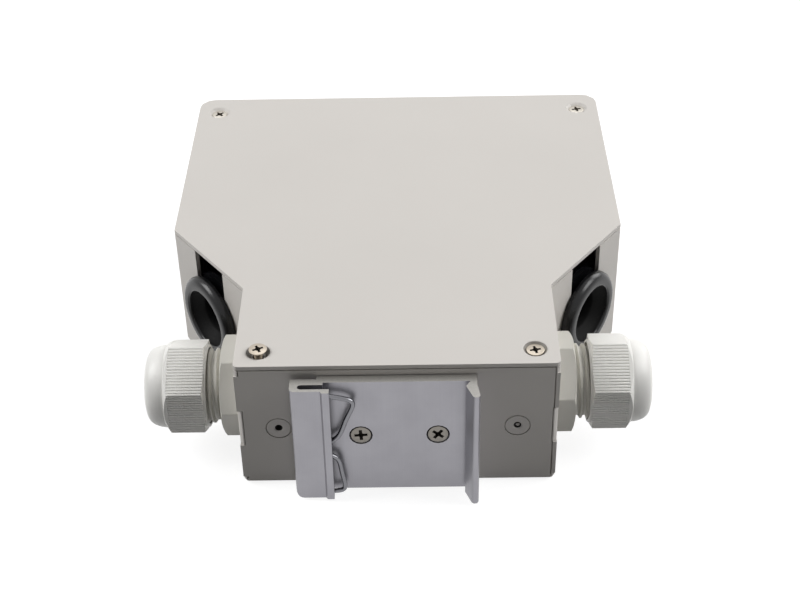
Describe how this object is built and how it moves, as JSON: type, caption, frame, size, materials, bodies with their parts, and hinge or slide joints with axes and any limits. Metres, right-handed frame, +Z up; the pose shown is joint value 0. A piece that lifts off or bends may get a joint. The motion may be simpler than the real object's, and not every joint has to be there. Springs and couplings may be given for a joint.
{
  "type": "din rail fibre box",
  "caption": "Sheet-metal fibre termination box that clips on a 35 mm DIN rail, with cable glands, rubber cable entries and a panel of fibre adapters with dust caps.",
  "frame": {"origin": "middle of the box's underside, on the surface that it lies on", "axes": "+Z up through the cover, -Y out through the rail clip, +Y out through the adapter panel, +X to the right when the rail clip is seen from the front"},
  "size_m": [0.136, 0.1658, 0.0414],
  "materials": {
    "painted_steel": "fine powder coat, light grey",
    "extruded_aluminium": "plain extruded, satin",
    "plated_steel": "nickel plated",
    "spring_steel": "bright drawn wire",
    "black_rubber": "matt black",
    "grey_nylon": "moulded, light grey",
    "adapter_plastic": "moulded, blue",
    "cap_plastic": "moulded, white",
    "tray_plastic": "moulded, grey",
    "clear_plastic": "clear sheet"
  },
  "bodies": {
    "box": {"adapter_1": "adapter_plastic", "adapter_2": "adapter_plastic", "adapter_3": "adapter_plastic", "adapter_4": "adapter_plastic", "adapter_5": "adapter_plastic", "adapter_6": "adapter_plastic", "adapter_panel": "painted_steel", "clip_nut_left": "plated_steel", "clip_nut_right": "plated_steel", "clip_screw_left": "plated_steel", "clip_screw_right": "plated_steel", "cover_plate": "painted_steel", "cover_screw_far_left": "plated_steel", "cover_screw_far_right": "plated_steel", "cover_screw_near_left": "plated_steel", "cover_screw_near_right": "plated_steel", "gland_body_left": "grey_nylon", "gland_body_right": "grey_nylon", "gland_lock_nut_left": "grey_nylon", "gland_lock_nut_right": "grey_nylon", "grommet_left": "black_rubber", "grommet_right": "black_rubber", "housing_tray": "painted_steel", "inner_cap_1": "cap_plastic", "inner_cap_2": "cap_plastic", "inner_cap_3": "cap_plastic", "inner_cap_4": "cap_plastic", "inner_cap_5": "cap_plastic", "inner_cap_6": "cap_plastic", "panel_screw_1": "plated_steel", "panel_screw_2": "plated_steel", "panel_screw_3": "plated_steel", "panel_screw_4": "plated_steel", "rail_clip": "extruded_aluminium", "splice_comb_1": "cap_plastic", "splice_comb_2": "cap_plastic", "splice_lid": "clear_plastic", "splice_tray": "tray_plastic", "tray_rivet_left": "painted_steel", "tray_rivet_right": "painted_steel", "tray_screw_left": "plated_steel", "tray_screw_right": "plated_steel", "tray_standoff_left": "plated_steel", "tray_standoff_right": "plated_steel"},
    "rail_spring": {"rail_spring": "spring_steel"},
    "seal_left": {"gland_seal_left": "black_rubber"},
    "nut_left": {"gland_nut_left": "grey_nylon"},
    "seal_right": {"gland_seal_right": "black_rubber"},
    "nut_right": {"gland_nut_right": "grey_nylon"},
    "outer_cap_1": {"outer_cap_1": "cap_plastic"},
    "outer_cap_2": {"outer_cap_2": "cap_plastic"},
    "outer_cap_3": {"outer_cap_3": "cap_plastic"},
    "outer_cap_4": {"outer_cap_4": "cap_plastic"},
    "outer_cap_5": {"outer_cap_5": "cap_plastic"},
    "outer_cap_6": {"outer_cap_6": "cap_plastic"}
  },
  "joints": [
    {"name": "spring_press", "type": "slide", "parent": "box", "child": "rail_spring", "axis": [-1, 0, 0], "range_m": [0, 0.002], "stiffness_N_per_m": 1500},
    {"name": "nut_travel_left", "type": "slide", "parent": "box", "child": "seal_left", "axis": [-1, 0, 0], "range_m": [-0.0036, 0.004]},
    {"name": "nut_turn_left", "type": "hinge", "parent": "seal_left", "child": "nut_left", "pos_m": [-0.0578, -0.0513, 0.0194], "axis": [-1, 0, 0], "range_deg": [-650, 722]},
    {"name": "nut_travel_right", "type": "slide", "parent": "box", "child": "seal_right", "axis": [1, 0, 0], "range_m": [-0.0036, 0.004]},
    {"name": "nut_turn_right", "type": "hinge", "parent": "seal_right", "child": "nut_right", "pos_m": [0.0578, -0.0513, 0.0194], "axis": [1, 0, 0], "range_deg": [-650, 722]},
    {"name": "cap_pull_1", "type": "slide", "parent": "box", "child": "outer_cap_1", "axis": [0, 1, 0], "range_m": [0, 0.012]},
    {"name": "cap_pull_2", "type": "slide", "parent": "box", "child": "outer_cap_2", "axis": [0, 1, 0], "range_m": [0, 0.012]},
    {"name": "cap_pull_3", "type": "slide", "parent": "box", "child": "outer_cap_3", "axis": [0, 1, 0], "range_m": [0, 0.012]},
    {"name": "cap_pull_4", "type": "slide", "parent": "box", "child": "outer_cap_4", "axis": [0, 1, 0], "range_m": [0, 0.012]},
    {"name": "cap_pull_5", "type": "slide", "parent": "box", "child": "outer_cap_5", "axis": [0, 1, 0], "range_m": [0, 0.012]},
    {"name": "cap_pull_6", "type": "slide", "parent": "box", "child": "outer_cap_6", "axis": [0, 1, 0], "range_m": [0, 0.012]}
  ],
  "couplings": [
    {"joint": "nut_turn_left", "follows": "nut_travel_left", "rad_per_m": 3141.6},
    {"joint": "nut_turn_right", "follows": "nut_travel_right", "rad_per_m": 3141.6}
  ]
}
